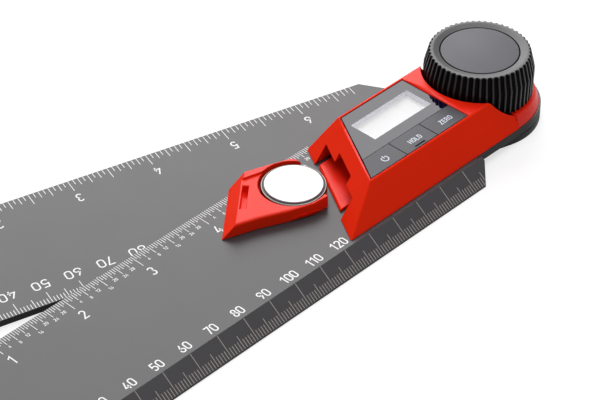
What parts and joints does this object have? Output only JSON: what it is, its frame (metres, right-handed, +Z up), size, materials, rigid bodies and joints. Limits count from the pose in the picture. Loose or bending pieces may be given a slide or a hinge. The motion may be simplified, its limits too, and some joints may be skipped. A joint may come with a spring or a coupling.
{
  "type": "digital angle finder",
  "caption": "Digital angle finder with two hinged scale legs, a red display housing, a fluted clamp knob, and its battery drawer taken out and laid on the leg",
  "frame": {"origin": "on the hinge axis, on the flat underside that lies on the work", "axes": "+X from the leg tips to the hub along the upper leg, +Y across the legs to the side that they open to, +Z up through the knob"},
  "size_m": [0.2198, 0.1093, 0.0231],
  "materials": {
    "leg_plastic": "dark charcoal moulded plastic with a fine satin grain",
    "red_plastic": "bright red moulded plastic, satin",
    "knob_plastic": "near black moulded plastic, satin",
    "cap_plastic": "near black plastic with a fine grain",
    "fascia_plastic": "smooth dark grey plastic, glossy",
    "key_plastic": "grey plastic, matt",
    "clear_window": "clear pane",
    "display_glass": "pale grey display glass",
    "white_plastic": "white plastic",
    "strip_rubber": "pink layered silicone rubber",
    "board_laminate": "green board laminate",
    "black_resin": "black moulded resin",
    "dome_steel": "thin stainless dome",
    "cell_steel": "plain stainless can",
    "steel": "plain steel"
  },
  "bodies": {
    "display_leg": {"upper_leg": "leg_plastic", "encoder_stator": "board_laminate", "board_link": "black_resin", "hub_collar": "red_plastic", "housing": "red_plastic", "housing_screws": "steel", "display_fascia": "fascia_plastic", "display_window": "clear_window", "display_frame": "white_plastic", "display_glass": "display_glass", "connector_strips": "strip_rubber", "circuit_board": "board_laminate", "controller_chip": "black_resin", "key_domes": "dome_steel", "negative_contact": "steel", "positive_contact": "steel", "battery_drawer": "red_plastic", "coin_cell": "cell_steel", "thrust_washer": "steel"},
    "scale_leg": {"lower_leg": "leg_plastic", "friction_washer": "white_plastic", "hinge_stud": "steel", "encoder_rotor": "board_laminate", "stop_washer": "steel", "stop_screw": "steel"},
    "clamp_knob": {"knob_body": "knob_plastic", "knob_cap": "cap_plastic", "clamp_nut": "steel"},
    "power_button": {"power_key": "key_plastic"},
    "hold_button": {"hold_key": "key_plastic"},
    "zero_button": {"zero_key": "key_plastic"}
  },
  "joints": [
    {"name": "leg_hinge", "type": "hinge", "parent": "display_leg", "child": "scale_leg", "pos_m": [0, 0, 0], "axis": [0, 0, -1], "range_deg": [-16.4, 248]},
    {"name": "knob_turn", "type": "hinge", "parent": "scale_leg", "child": "clamp_knob", "pos_m": [0, 0, 0], "axis": [0, 0, 1], "range_deg": [0, 270]},
    {"name": "power_press", "type": "slide", "parent": "display_leg", "child": "power_button", "axis": [0, 0, -1], "range_m": [0, 0.0005], "stiffness_N_per_m": 600, "springref_m": -0.0012},
    {"name": "hold_press", "type": "slide", "parent": "display_leg", "child": "hold_button", "axis": [0, 0, -1], "range_m": [0, 0.0005], "stiffness_N_per_m": 600, "springref_m": -0.0012},
    {"name": "zero_press", "type": "slide", "parent": "display_leg", "child": "zero_button", "axis": [0, 0, -1], "range_m": [0, 0.0005], "stiffness_N_per_m": 600, "springref_m": -0.0012}
  ]
}
